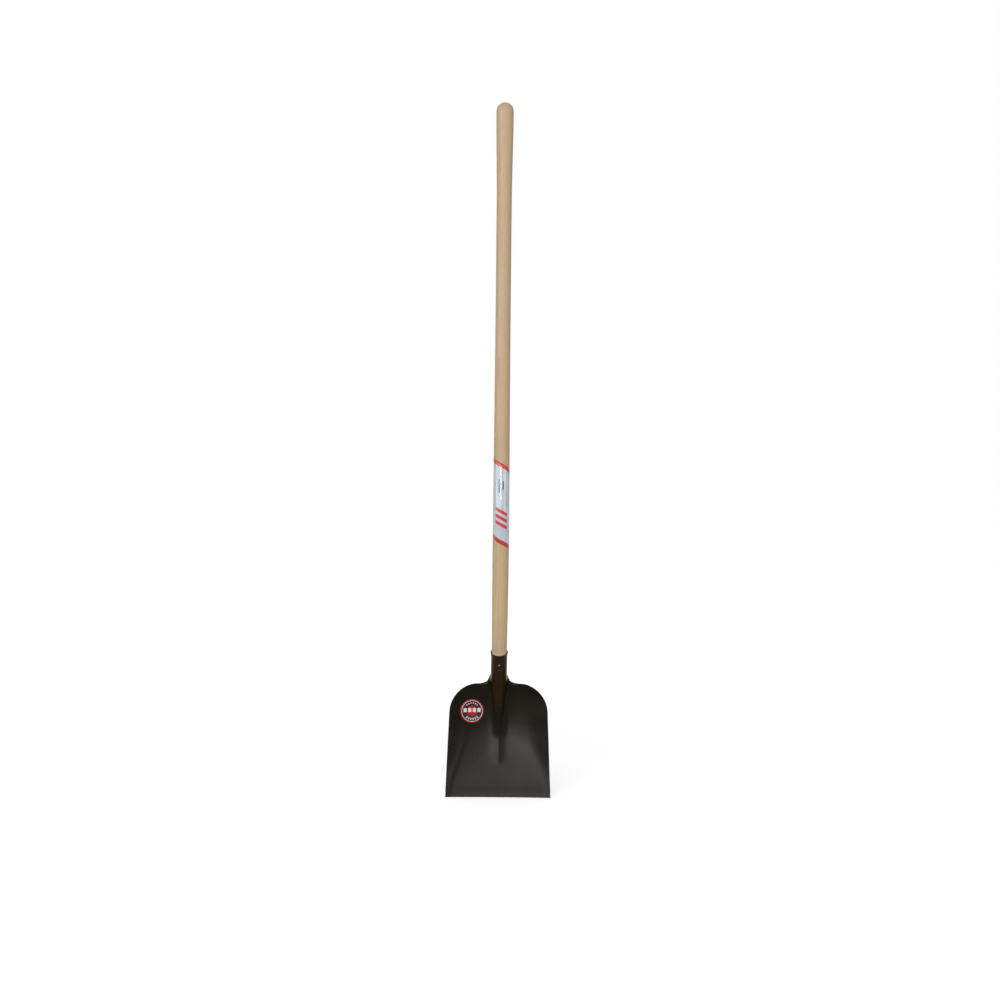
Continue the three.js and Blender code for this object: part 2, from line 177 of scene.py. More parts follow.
def object_place(tree):
    return add_node(tree, "TexCoord", {}).outputs["Object"]


def parted(tree, place):
    """The X, Y and Z parts of a place."""
    return add_node(tree, "SeparateXYZ", {0: place}).outputs


def distance_out(tree, place):
    return add_node(tree, "VectorMath", {0: place}, operation="LENGTH").outputs["Value"]


def attribute(tree, name, output="Fac"):
    return add_node(tree, "Attribute", {}, attribute_name=name).outputs[output]


def paint(red, green, blue):
    """A screen colour from 0 to 255 as the light values that a shader reads."""
    def light(value):
        share = value / 255
        return share / 12.92 if share < 0.04045 else ((share + 0.055) / 1.055) ** 2.4
    return light(red), light(green), light(blue), 1.0


# %% [markdown]
# ## Handing a mesh over
#
# A new piece is modelled in a bmesh, in metres and in its final place. Then it becomes an
# object at the origin that rides on the shovel's one body, takes its own material and hides
# the CAD node that it stands for. Its edges shade smooth, apart from those that really are sharp.
# Round pieces start as a row of points that is spun, and thin ones get a thickness at the end.

# %% Mesh helpers
SHARP_ANGLE = math.radians(38)
WELD = 1e-5                  # points closer than this are one point


def hand_over(bm, name, node, finish):
    mesh = bpy.data.meshes.new(name)
    bm.to_mesh(mesh)
    bm.free()
    mesh.shade_smooth()
    mesh.set_sharp_from_angle(angle=SHARP_ANGLE)
    mesh.materials.append(finish)
    piece = new_object(name, mesh)
    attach(piece, "root")
    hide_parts(node)
    print(name, "has", len(mesh.polygons), "faces")
    return piece


def thicken(piece, thickness, offset):
    wall = piece.modifiers.new("thickness", "SOLIDIFY")
    wall.thickness = thickness
    wall.offset = offset


def put_in_order(bm):
    """Sorts edges and faces by their points, because a spin makes them in no fixed order."""
    bm.verts.index_update()
    for parts in (bm.edges, bm.faces):
        ranked = sorted(parts, key=lambda part: sorted(vert.index for vert in part.verts))
        rank = {part: i for i, part in enumerate(ranked)}
        parts.sort(key=rank.get)


def spun(points, sides):
    """A row of points, joined by edges and spun once round +Z."""
    bm = bmesh.new()
    row = [bm.verts.new(point) for point in points]
    for start, end in zip(row, row[1:]):
        bm.edges.new((start, end))
    turned = {"cent": (0, 0, 0), "axis": (0, 0, 1), "angle": 2 * math.pi, "steps": sides}
    bmesh.ops.spin(bm, geom=bm.verts[:] + bm.edges[:], use_merge=True, **turned)
    bmesh.ops.remove_doubles(bm, verts=bm.verts, dist=WELD)
    put_in_order(bm)
    return bm


def lathed(profile, sides):
    """A closed turned solid, from points of (radius, height)."""
    bm = spun([(radius, 0, height) for radius, height in profile], sides)
    bmesh.ops.recalc_face_normals(bm, faces=bm.faces)
    return bm


def smooth(share):
    """Runs smoothly from 0 to 1 as the share does, and stays level beyond."""
    held = min(max(share, 0.0), 1.0)
    return held * held * (3 - 2 * held)


# %% [markdown]
# ## The line of the handle
#
# The ash handle is turned straight, then steamed and bent, so that the blade lies flat on the
# ground while the hands stay high. Its line is a straight grip, an arc and a straight end in
# the socket. The top of the grip and its depth come from the CAD node, and the rest is
# worked out downwards from there. Everything on the handle is first made straight.

# %% Handle line
HANDLE_LENGTH = 1.3
INSERT_DEPTH = 0.082         # length of wood inside the socket
SOCKET_LEAN = math.radians(34)
BEND_RADIUS = 0.59
BEND_START = INSERT_DEPTH + 0.01
BEND_END = BEND_START + BEND_RADIUS * SOCKET_LEAN
GRIP_RADIUS = 0.0187

handle_low, handle_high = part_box("handle")
HANDLE_AXIS_Y = handle_low.y + GRIP_RADIUS


def beside_handle(x, y, along):
    """The bent place of a point given round and along a straight handle."""
    lean = min(max(BEND_END - along, 0), BEND_END - BEND_START) / BEND_RADIUS
    straight = max(BEND_START - along, 0)
    centre_y = HANDLE_AXIS_Y + BEND_RADIUS * (1 - math.cos(lean)) + straight * math.sin(lean)
    grip_start = handle_high.z - HANDLE_LENGTH + max(along, BEND_END)
    centre_z = grip_start - BEND_RADIUS * math.sin(lean) - straight * math.cos(lean)
    return Vector((x, centre_y + y * math.cos(lean), centre_z + y * math.sin(lean)))


UP_SOCKET = Vector((0, -math.sin(SOCKET_LEAN), math.cos(SOCKET_LEAN)))
INTO_SOCKET = Vector((0, math.cos(SOCKET_LEAN), math.sin(SOCKET_LEAN)))
print("handle tip at", beside_handle(0, 0, 0))

# %% [markdown]
# ## Turning the wood
#
# The handle swells at its belly, thins towards the hands and ends in a round knob. Each
# station gives a distance from the tip and a radius, and a smooth step joins two stations.
# The profile is spun, and each point keeps its straight place in an attribute, because the
# grain was in the wood before the bend and has to follow it.

# %% Handle mesh
TIP_LENGTH = 0.03
TIP_RADIUS = 0.0095
TIP_ROUND = 0.003
FIT_RADIUS = 0.0159
MOUTH_LENGTH = 0.014
BEVEL_TOP = INSERT_DEPTH + 0.01    # a bevel is cut on the wood from the rim up to here
WOOD_STATIONS = [
    (TIP_LENGTH, FIT_RADIUS),
    (INSERT_DEPTH - MOUTH_LENGTH, FIT_RADIUS),
    (INSERT_DEPTH, 0.0162),
    (BEVEL_TOP, 0.0171),
    (0.215 * HANDLE_LENGTH, 0.0177),
    (0.675 * HANDLE_LENGTH, 0.0163),
    (0.829 * HANDLE_LENGTH, 0.0163),
    (0.983 * HANDLE_LENGTH, GRIP_RADIUS),
]
WOOD_STEP = 0.006
KNOB_STEPS = 10
HANDLE_SIDES = 64


def wood_radius(along):
    if along < TIP_LENGTH:
        return TIP_RADIUS + (FIT_RADIUS - TIP_RADIUS) * along / TIP_LENGTH
    for (start, low), (end, high) in zip(WOOD_STATIONS, WOOD_STATIONS[1:]):
        if along <= end:
            return low + (high - low) * smooth((along - start) / (end - start))
    return GRIP_RADIUS


def handle_profile():
    profile = [(0, 0), (TIP_RADIUS - TIP_ROUND, 0), (TIP_RADIUS - TIP_ROUND / 3, TIP_ROUND / 3)]
    knob_start = HANDLE_LENGTH - GRIP_RADIUS
    rows = int((knob_start - TIP_ROUND) / WOOD_STEP)
    for i in range(rows):
        along = TIP_ROUND + (knob_start - TIP_ROUND) * i / rows
        profile.append((wood_radius(along), along))
    for i in range(KNOB_STEPS):
        turn = math.pi / 2 * i / KNOB_STEPS
        profile.append((GRIP_RADIUS * math.cos(turn), knob_start + GRIP_RADIUS * math.sin(turn)))
    return profile + [(0, HANDLE_LENGTH)]


def bend(bm):
    """Keeps each point's straight place as its grain, then bends the piece with the handle."""
    grain = bm.verts.layers.float_vector.new("grain")
    for vert in bm.verts:
        vert[grain] = vert.co
        vert.co = beside_handle(*vert.co)


# %% [markdown]
# ## Ash
#
# Ash is pale and ring-porous: each year's growth starts with a band of open pores and ends
# dense and smooth. On a turned handle the bands run as long fine lines, with short dark pore
# dashes in them. Rings round a pith outside the wood give the bands, noise stretched along
# the grain gives the fibre and the pores, and slow noise keeps the rings from being ruled.

# %% Ash material
# painted shade: the wood is painted darker towards the top of the handle
ASH_UPPER_SHADED = paint(194, 168, 136)
ASH_LOWER = paint(214, 187, 149)
ASH_EARLY = paint(178, 149, 114)
ASH_PORE = paint(142, 112, 80)
ASH_CUT = paint(222, 202, 178)
RING_SCALE = 120.0           # gives rings 2.6 mm apart
PITH_PLACE = (0.031, 0.046, 0.0)
RING_WANDER = (0.011, 0.011, 0.0)
EARLY_SHARE = 0.42           # how strongly the porous bands show
FIBRE_SHARE = 0.3
PORE_SHARE = 0.45
CUT_SHARE = 0.6              # and the paler, freshly cut wood of the bevel
SHADOW_LINE_HALF = 0.0005       # half the width of the painted shadow line at the bevel's top
ASH_SHINE = 0.2
FIBRE_DEPTH = 0.00006
PORE_DEPTH = 0.00008


def ash_material():
    made, tree, shader = new_material("ash_wood")
    grain = attribute(tree, "grain", "Vector")
    slow = stretched(tree, grain, (26.0, 26.0, 2.2))
    drift = add_node(tree, "TexNoise", {"Vector": slow, "Scale": 1.0, "Detail": 2.0}).outputs["Color"]
    wander = add_node(tree, "VectorMath", {0: drift, 1: RING_WANDER}, operation="MULTIPLY")
    moved = add_node(tree, "VectorMath", {0: grain, 1: wander.outputs[0]}, operation="ADD")
    pith = add_node(tree, "VectorMath", {0: moved.outputs[0], 1: PITH_PLACE}, operation="ADD")
    drawn_out = stretched(tree, pith.outputs[0], (1.0, 1.0, 0.03))
    inputs = {"Vector": drawn_out, "Scale": RING_SCALE, "Distortion": 3.0, "Detail Scale": 0.6}
    settings = {"wave_type": "RINGS", "rings_direction": "Z", "wave_profile": "SAW"}
    rings = add_node(tree, "TexWave", inputs, **settings).outputs["Fac"]
    early = fade(tree, rings, 0.35, 1.0)
    fibre = noise(tree, stretched(tree, grain, (1500.0, 1500.0, 22.0)), 1.0, 4.0)
    specks = noise(tree, stretched(tree, grain, (2600.0, 2600.0, 130.0)), 1.0, 1.0)
    pores = times(tree, fade(tree, specks, 0.6, 0.68), fade(tree, rings, 0.45, 0.8))
    along = parted(tree, grain)[2]
    in_bevel = fade(tree, along, BEVEL_TOP, BEVEL_TOP - 0.0006)
    # painted shadow: a dark line where the bevel meets the round wood
    on_shadow_line = inside(tree, along, BEVEL_TOP, SHADOW_LINE_HALF, 0.0004)
    # painted shade: the wood runs darker towards the top of the handle
    colour = blended(tree, fade(tree, along, 0.1, 0.5), ASH_LOWER, ASH_UPPER_SHADED)
    colour = blended(tree, times(tree, early, EARLY_SHARE), colour, ASH_EARLY)
    colour = blended(tree, fade(tree, fibre, 0.35, 0.7, 0.0, FIBRE_SHARE), colour, ASH_EARLY)
    colour = blended(tree, times(tree, pores, PORE_SHARE), colour, ASH_PORE)
    colour = blended(tree, times(tree, in_bevel, CUT_SHARE), colour, ASH_CUT)
    # the painted shadow line at the bevel's top, in the pores' colour
    colour = blended(tree, times(tree, on_shadow_line, PORE_SHARE), colour, ASH_PORE)
    rough = fade(tree, fibre, 0.3, 0.7, 0.48, 0.62)
    relief = bumped(tree, fibre, FIBRE_DEPTH)
    relief = bumped(tree, calc(tree, "SUBTRACT", 1.0, pores), PORE_DEPTH, relief)
    finish = {"Base Color": colour, "Roughness": rough, "Specular IOR Level": ASH_SHINE}
    set_inputs(tree, shader, {**finish, "Normal": relief})
    return made


handle_bm = lathed(handle_profile(), HANDLE_SIDES)
bend(handle_bm)
hand_over(handle_bm, "ash_handle", "handle", ash_material())

# %% [markdown]
# ## The pressed blade
#
# The blade is one sheet: the press hollows the pan and raises the ridge, and the tongue above
# it is rolled into the socket. That form is in the CAD node already, as flat triangles. A copy
# of the node is merged and its triangles are joined into quads, so that Catmull-Clark
# subdivision can make the sheet as smooth as pressed steel is. The nail's place is worked out
# here too, from its CAD node, because the marks round it belong to the sheet.

# %% Copy the blade's sheet
FLAT_ANGLE = math.radians(25)      # two triangles less bent than this can make a quad
SHAPE_ANGLE = math.radians(60)     # that is no further than this from a rectangle
NAIL_LENGTH = 0.024

nail_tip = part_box("socket_nail")[1]
nail_seat = Vector((0, nail_tip.y, nail_tip.z)) - INTO_SOCKET * NAIL_LENGTH

blade_bm = bmesh.new()
blade_bm.from_mesh(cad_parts["blade"].data)
bmesh.ops.remove_doubles(blade_bm, verts=blade_bm.verts, dist=WELD)
joining = {"angle_face_threshold": FLAT_ANGLE, "angle_shape_threshold": SHAPE_ANGLE}
bmesh.ops.join_triangles(blade_bm, faces=blade_bm.faces, **joining)
print("blade copy:", len(blade_bm.faces), "faces,", sum(len(f.verts) == 4 for f in blade_bm.faces), "quads")


# %% [markdown]
# The nail was driven through a shallow dimple, and below it a punch has raised a small
# crescent that grips the wood. Its lip takes the colour of the rubbed rims as a painted
# highlight. Both are finer than the socket's rows, so each strip between two rows near them
# is divided by more rows, all round, before the sheet is smoothed.

# %% Rows for the marks on the socket
CRESCENT_DROP = 0.0145       # from the nail down to the crescent
ROWS_BELOW = 0.023           # from the nail to the lower and upper end of the divided strips
ROWS_ABOVE = 0.013
MORE_ROWS = 3
STEEP = 0.8                  # share of an edge's length that has to run up the socket


def runs_up_socket(edge):
    ends = [(vert.co - nail_seat).dot(UP_SOCKET) for vert in edge.verts]
    if min(ends) < -ROWS_BELOW or max(ends) > ROWS_ABOVE:
        return False
    return abs(ends[0] - ends[1]) > STEEP * edge.calc_length()


strips = [edge for edge in blade_bm.edges if runs_up_socket(edge)]
bmesh.ops.subdivide_edges(blade_bm, edges=strips, cuts=MORE_ROWS, use_grid_fill=True)
print("with more rows:", len(blade_bm.faces), "faces")

# %% [markdown]
# Smoothing rounds every edge that nothing holds. So the rims are bevelled first, as a shear
# and a file leave them, and the ground cutting edge is creased to stay sharp. Points along
# the rims are kept for later, because the steel is rubbed there.

# %% Bevel the rims and crease the cutting edge
RIM_ANGLE = math.radians(55)
RIM_BEVEL = 0.0004
RIM_SAMPLES = 8              # points kept on each edge of a rim
GROUND_HEIGHT = 0.0005       # edges lower than this belong to the ground cutting edge
NAIL_REACH = 0.005           # nothing is bevelled this close to the nail's hole


def is_rim(edge):
    middle = (edge.verts[0].co + edge.verts[1].co) / 2
    if not edge.is_manifold or edge.calc_face_angle() < RIM_ANGLE:
        return False
    return (middle - nail_seat).length > NAIL_REACH


def is_ground(edge):
    return min(v.co.z for v in edge.verts) < GROUND_HEIGHT


crease = blade_bm.edges.layers.float.new("crease_edge")
rim_edges = [edge for edge in blade_bm.edges if is_rim(edge)]
rim_points = []
for edge in rim_edges:
    start, end = (v.co for v in edge.verts)
    rim_points += [start.lerp(end, i / RIM_SAMPLES) for i in range(RIM_SAMPLES)]
    if is_ground(edge):
        edge[crease] = 1.0
soft_rims = [edge for edge in rim_edges if not is_ground(edge)]
bevel = {"offset": RIM_BEVEL, "offset_type": "OFFSET", "segments": 1, "profile": 0.5}
bmesh.ops.bevel(blade_bm, geom=soft_rims, affect="EDGES", material=-1, clamp_overlap=True, **bevel)
print("rim edges:", len(rim_edges), "of which bevelled:", len(soft_rims))


# %% [markdown]
# Subdivision pulls a curved sheet inwards: this socket would lose a millimetre all round. So
# the cage is moved out first, by as much as the smoothing takes each of its points in, and
# then the smooth sheet runs through the places that the CAD model gives.

# %% Smooth the sheet
SMOOTH_LEVELS = 2
CORRECTIONS = 3


def subdivided(bm, levels):
    """The bmesh's Catmull-Clark subdivision, which keeps its points in place, as a new bmesh."""
    mesh = bpy.data.meshes.new("cage")
    bm.to_mesh(mesh)
    bm.free()
    cage = new_object("cage", mesh)
    modifier = cage.modifiers.new("smooth", "SUBSURF")
    modifier.levels = levels
    modifier.render_levels = levels
    wanted = [vert.co.copy() for vert in mesh.vertices]
    for _ in range(CORRECTIONS):
        smoothed = cage.evaluated_get(bpy.context.evaluated_depsgraph_get()).data
        pulled = [place - smoothed.vertices[i].co for i, place in enumerate(wanted)]
        for vert, back in zip(mesh.vertices, pulled):
            vert.co += back
        mesh.update()
        cage.update_tag()
        print("largest pull of the smoothing:", max(back.length for back in pulled))
    fine = bmesh.new()
    fine.from_object(cage, bpy.context.evaluated_depsgraph_get())
    bpy.data.objects.remove(cage)
    bpy.data.meshes.remove(mesh)
    return fine


blade_bm = subdivided(blade_bm, SMOOTH_LEVELS)
print("smoothed sheet:", len(blade_bm.faces), "faces")

# %% [markdown]
# Where the pan turns into the tongue, the rows lie close together, which smoothing can turn
# into a fine fold, and below it the ridge's crest is sharper than a press can make it. The
# drilled hole leaves thin faces round it too. So the sheet is relaxed there a few times, apart
# from its rims. That needs each point's distance from the nearest rim, and the lacquer's wear
# will too, so it is found first and kept in an attribute.

# %% Distance from the rim, and the relaxed neck and crest
NECK_LOW = 0.222             # heights between which the sheet is relaxed
NECK_HIGH = 0.275
NECK_KEEP = 0.0015           # the rims keep their form this far in
CREST_LOW = 0.1              # the crest of the ridge is relaxed from here up to the neck
CREST_HALF_WIDTH = 0.014
HOLE_KEEP = 0.0024           # the edge of the nail's hole, which its head hides, keeps its form
HOLE_REACH = 0.01            # but the sheet round it is relaxed, this far out at first
RELAXINGS = 14

rim_tree = KDTree(len(rim_points))
for i, point in enumerate(rim_points):
    rim_tree.insert(point, i)
rim_tree.balance()
to_rim_and_lip = blade_bm.verts.layers.float.new("to_rim_and_lip")
for vert in blade_bm.verts:
    vert[to_rim_and_lip] = rim_tree.find(vert.co)[2]


def is_relaxed(vert):
    on_crest = abs(vert.co.x) < CREST_HALF_WIDTH and vert.co.z > CREST_LOW
    return (on_crest or vert.co.z > NECK_LOW) and vert.co.z < NECK_HIGH and vert[to_rim_and_lip] > NECK_KEEP


relaxed = [vert for vert in blade_bm.verts if is_relaxed(vert)]
every_way = {"use_axis_x": True, "use_axis_y": True, "use_axis_z": True}
round_hole = [vert for vert in blade_bm.verts if (vert.co - nail_seat).length < HOLE_REACH]
for i in range(RELAXINGS):
    reach = HOLE_REACH * (1 - i / RELAXINGS)
    disc = [vert for vert in round_hole if HOLE_KEEP < (vert.co - nail_seat).length < reach]
    bmesh.ops.smooth_vert(blade_bm, verts=relaxed + disc, factor=0.5, **every_way)
print("relaxed points:", len(relaxed), "of the neck and the crest,", len(round_hole), "by the nail")

# %% [markdown]
# Now the marks themselves. Each point on the front of the socket moves along the nail's way:
# in by the dimple, and out and in by the crescent, whose wave dies away towards its ends. The
# lip that stands out counts as a rim, so it takes the rubbed colour as a painted highlight.

# %% Press the dimple and the crescent
DIMPLE_RADIUS = 0.0062
DIMPLE_DEPTH = 0.0006
CRESCENT_ASIDE = 0.0016      # the punch was set a little to the right of the nail
CRESCENT_HALF_WIDTH = 0.0072
CRESCENT_SAG = 0.0014        # how far the crescent's ends hang below its middle
CRESCENT_HALF_HEIGHT = 0.0017
CRESCENT_HEIGHT = 0.0015
LIP_HIGHLIGHT_START = 0.1              # the lip gets a painted highlight where the crescent is fuller than this

for vert in blade_bm.verts:
    beside = vert.co - nail_seat
    if beside.dot(INTO_SOCKET) > DIMPLE_RADIUS or vert.normal.dot(INTO_SOCKET) > 0:
        continue
    up = beside.dot(UP_SOCKET)
    dimple = 1 - smooth(math.hypot(vert.co.x, up) / DIMPLE_RADIUS)
    across = (vert.co.x - CRESCENT_ASIDE) / CRESCENT_HALF_WIDTH
    rise = (up + CRESCENT_DROP + CRESCENT_SAG * across * across) / CRESCENT_HALF_HEIGHT
    wave = -math.sin(math.pi * rise) if abs(rise) < 1 else 0.0
    fullness = max(1 - across * across, 0.0)
    lip = CRESCENT_HEIGHT * wave * fullness
    # painted highlight: the crescent's lip is marked like a rubbed rim
    if fullness > LIP_HIGHLIGHT_START:
        vert[to_rim_and_lip] = min(vert[to_rim_and_lip], abs(rise - 0.5) * CRESCENT_HALF_HEIGHT / (2 * fullness))
    vert.co += INTO_SOCKET * (DIMPLE_DEPTH * dimple + lip)

# %% [markdown]
# ## Black lacquer
#
# The blade is dipped in a thin black lacquer that dries semi-gloss. It has soft clouds, faint
# lines from the press that run up the sheet, and a fine skin like orange peel. On the socket
# and the ridge it is thinner and looks brown. At the rims it is rubbed, and the ground strip
# along the cutting edge shows level scratches. The crescent's lip takes the rubbed colour as a
# painted highlight. Low in the pan, a painted sheen makes it a little greyer, as if it mirrored
# more light. All of it is low in contrast, because the photograph's blade is. The gloss is
# weak too: a black thing in a white room turns grey by its reflections alone.

# %% Lacquer material
LACQUER = paint(9, 9, 1)
LACQUER_CLOUD = paint(17, 16, 6)
# painted sheen: the colour of the low pan, greyer as if it mirrored more light
LACQUER_PAINTED_SHEEN = paint(25, 24, 23)
LACQUER_BROWN = paint(38, 26, 4)
# real wear at the rims, and also the painted highlight on the crescent's lip
LACQUER_RUBBED_AND_LIT = paint(72, 69, 62)
PAINTED_SHEEN_START = 0.165            # height below which a painted sheen makes the pan greyer
PAINTED_SHEEN_FULL = 0.12
BROWN_HALF_WIDTH = 0.019     # of the ridge and socket, where the lacquer is thin
BROWN_START = 0.175          # height where it starts to look brown
BROWN_FULL = 0.225
RIM_WEAR = 0.0004            # width of the rubbed line at the rims
GROUND_STRIP = 0.009
RUBBED_AND_LIT_SHARE = 0.6           # how strongly the rubbed steel and the lip's painted highlight show
LACQUER_SHINE = 0.075
LACQUER_TINT = paint(255, 251, 242)
PEEL_DEPTH = 0.00004
PRESS_DEPTH = 0.00002
SCRATCH_DEPTH = 0.00005


def lacquer_material():
    made, tree, shader = new_material("black_lacquer")
    place = object_place(tree)
    across, _, height = parted(tree, place)
    clouds = noise(tree, place, 14.0, 4.0)
    press_lines = noise(tree, stretched(tree, place, (420.0, 60.0, 9.0)), 1.0, 3.0)
    scratches = noise(tree, stretched(tree, place, (16.0, 300.0, 1500.0)), 1.0, 3.0)
    peel = noise(tree, place, 700.0, 2.0)
    grit = noise(tree, place, 190.0, 4.0)
    black = blended(tree, fade(tree, clouds, 0.35, 0.7), LACQUER, LACQUER_CLOUD)
    # painted sheen: the low pan is painted greyer, as if it mirrored more light
    black = blended(tree, fade(tree, height, PAINTED_SHEEN_START, PAINTED_SHEEN_FULL), black, LACQUER_PAINTED_SHEEN)
    beside = calc(tree, "ABSOLUTE", across)
    on_tongue = fade(tree, beside, BROWN_HALF_WIDTH + 0.004, BROWN_HALF_WIDTH - 0.006)
    thin = times(tree, on_tongue, fade(tree, height, BROWN_START, BROWN_FULL))
    base = blended(tree, thin, black, LACQUER_BROWN)
    # real wear at the rims and the ground strip, and a painted highlight on the crescent's lip
    wear_and_highlight_width = times(tree, fade(tree, grit, 0.3, 0.7, 0.4, 1.8), RIM_WEAR)
    worn_and_lit_lip = fade(tree, calc(tree, "DIVIDE", attribute(tree, "to_rim_and_lip"), wear_and_highlight_width), 1.2, 0.5)
    strip = fade(tree, height, GROUND_STRIP + 0.002, GROUND_STRIP - 0.003)
    scratched = times(tree, strip, fade(tree, scratches, 0.45, 0.75))
    rubbed_and_lit_lip = times(tree, either(tree, worn_and_lit_lip, scratched), RUBBED_AND_LIT_SHARE)
    colour = blended(tree, rubbed_and_lit_lip, base, LACQUER_RUBBED_AND_LIT)
    streaky = fade(tree, press_lines, 0.3, 0.7, -0.02, 0.02)
    rough = calc(tree, "ADD", fade(tree, clouds, 0.3, 0.7, 0.27, 0.35), streaky)
    relief = bumped(tree, peel, PEEL_DEPTH)
    relief = bumped(tree, press_lines, PRESS_DEPTH, relief)
    relief = bumped(tree, times(tree, scratched, -1.0), SCRATCH_DEPTH, relief)
    set_inputs(tree, shader, {"Base Color": colour, "Roughness": rough, "Normal": relief})
    set_inputs(tree, shader, {"Specular IOR Level": LACQUER_SHINE, "Specular Tint": LACQUER_TINT})
    return made


blade_surface = BVHTree.FromBMesh(blade_bm)
hand_over(blade_bm, "pressed_blade", "blade", lacquer_material())

# %% [markdown]
# ## The nail
#
# A nail with a domed head is driven through the front of the socket. Only its head shows. It
# is spun as a head, a shank and a point, then turned so that it runs into the wood, and its
# head is seated in the dimple. The bright steel is scored a little by the hammer.

# %% Nail mesh and material
NAIL_HEAD_RADIUS = 0.0027
NAIL_DOME = 0.0014
NAIL_EDGE = 0.0005
NAIL_SHANK_RADIUS = 0.0015
NAIL_POINT = 0.005
DOME_STEPS = 8
NAIL_SIDES = 40
NAIL_BRIGHT = paint(104, 102, 93)
NAIL_DULL = paint(62, 59, 51)
NAIL_METAL = 0.9
DENT_DEPTH = 0.0002


def nail_profile():
    seated = NAIL_LENGTH - DIMPLE_DEPTH
    profile = [(0, 0), (NAIL_SHANK_RADIUS, NAIL_POINT), (NAIL_SHANK_RADIUS, seated)]
    profile += [(NAIL_HEAD_RADIUS, seated), (NAIL_HEAD_RADIUS, seated + NAIL_EDGE)]
    for i in range(1, DOME_STEPS):
        turn = math.pi / 2 * i / DOME_STEPS
        dome = seated + NAIL_EDGE + NAIL_DOME * math.sin(turn)
        profile.append((NAIL_HEAD_RADIUS * math.cos(turn), dome))
    return profile + [(0, seated + NAIL_EDGE + NAIL_DOME)]


def nail_material():
    made, tree, shader = new_material("nail_steel")
    place = object_place(tree)
    dents = noise(tree, place, 900.0, 2.0)
    tarnish = noise(tree, place, 260.0, 4.0)
    colour = blended(tree, fade(tree, tarnish, 0.4, 0.75), NAIL_BRIGHT, NAIL_DULL)
    rough = fade(tree, tarnish, 0.3, 0.7, 0.28, 0.5)
    relief = bumped(tree, dents, DENT_DEPTH)
    finish = {"Base Color": colour, "Roughness": rough, "Metallic": NAIL_METAL, "Normal": relief}
    set_inputs(tree, shader, finish)
    return made


nail_bm = lathed(nail_profile(), NAIL_SIDES)
to_place = (-INTO_SOCKET).to_track_quat("Z", "Y").to_matrix().to_4x4()
to_place.translation = nail_seat + INTO_SOCKET * NAIL_LENGTH
bmesh.ops.transform(nail_bm, matrix=to_place, verts=nail_bm.verts)
hand_over(nail_bm, "socket_nail_bright", "socket_nail", nail_material())

# %% [markdown]
# ## The film label
#
# A thin printed film is wrapped once round the wood, cut on a slant at both ends, and laps
# over itself along the back. It is modelled as the flat film that it is: a grid whose UV map
# is the printed sheet. Then each point is wrapped round the wood, and the lapping end climbs
# over the first one. A Solidify modifier gives the film its thickness.

# %% Label mesh
LABEL_START = INSERT_DEPTH + 0.266
LABEL_LENGTH = 0.172
LABEL_SLANT = math.radians(28)
LABEL_ACROSS = 96
LABEL_ALONG = 24
LABEL_LIFT = 0.00015
FILM = 0.00012
LAP = 0.3                    # radians that the film laps over itself
LAP_CLIMB = 0.12             # radians over which its end climbs
LAP_HEIGHT = FILM + FILM / 2


def wrapped_label():
    bm = bmesh.new()
    bm.loops.layers.uv.new("print")
    size = {"x_segments": LABEL_ACROSS, "y_segments": LABEL_ALONG, "size": 0.5}
    bmesh.ops.create_grid(bm, calc_uvs=True, **size)
    middle_radius = wood_radius(LABEL_START + LABEL_LENGTH / 2)
    for vert in bm.verts:
        turn = -math.pi + (vert.co.x + 0.5) * (2 * math.pi + LAP)
        slant = middle_radius * turn * math.tan(LABEL_SLANT)
        along = LABEL_START - slant + LABEL_LENGTH * (vert.co.y + 0.5)
        climb = smooth((turn - math.pi + LAP_CLIMB) / LAP_CLIMB) * LAP_HEIGHT
        radius = wood_radius(along) + LABEL_LIFT + climb
        vert.co = beside_handle(radius * math.sin(turn), -radius * math.cos(turn), along)
    return bm


# %% [markdown]
# The print is plain: a silver-white film with a red band along each slanted end, a short pair
# of grey rules above and three slanted red bars below. The bands follow the film's V axis,
# and the marks are placed round the film's front by its U axis.

# %% Label material
FILM_SILVER = paint(196, 203, 208)
FILM_SHADE = paint(178, 188, 195)
BAND_RED = paint(196, 34, 38)
RULE_GREY = paint(70, 84, 100)
BAND_SHARE = 0.055           # of the label's length, at each end
FRONT_SHARE = math.pi / (2 * math.pi + LAP)   # where the front of the handle lies on the U axis
BAR_PLACES = (0.24, 0.32, 0.40)    # along the label, like all shares below except the widths
BAR_HALF_HEIGHT = 0.022
BAR_HALF_WIDTH = 0.115
RULES = ((-0.045, 0.70, 0.085), (0.03, 0.735, 0.055))   # place round, middle, half length
RULE_HALF_WIDTH = 0.013
FILM_EDGE = 0.002            # softness of the print's edges
FILM_ROUGH = 0.34
FILM_SHINE = 0.15
COAT_SHARE = 0.6
COAT_ROUGH = 0.12
RIPPLE_DEPTH = 0.00006


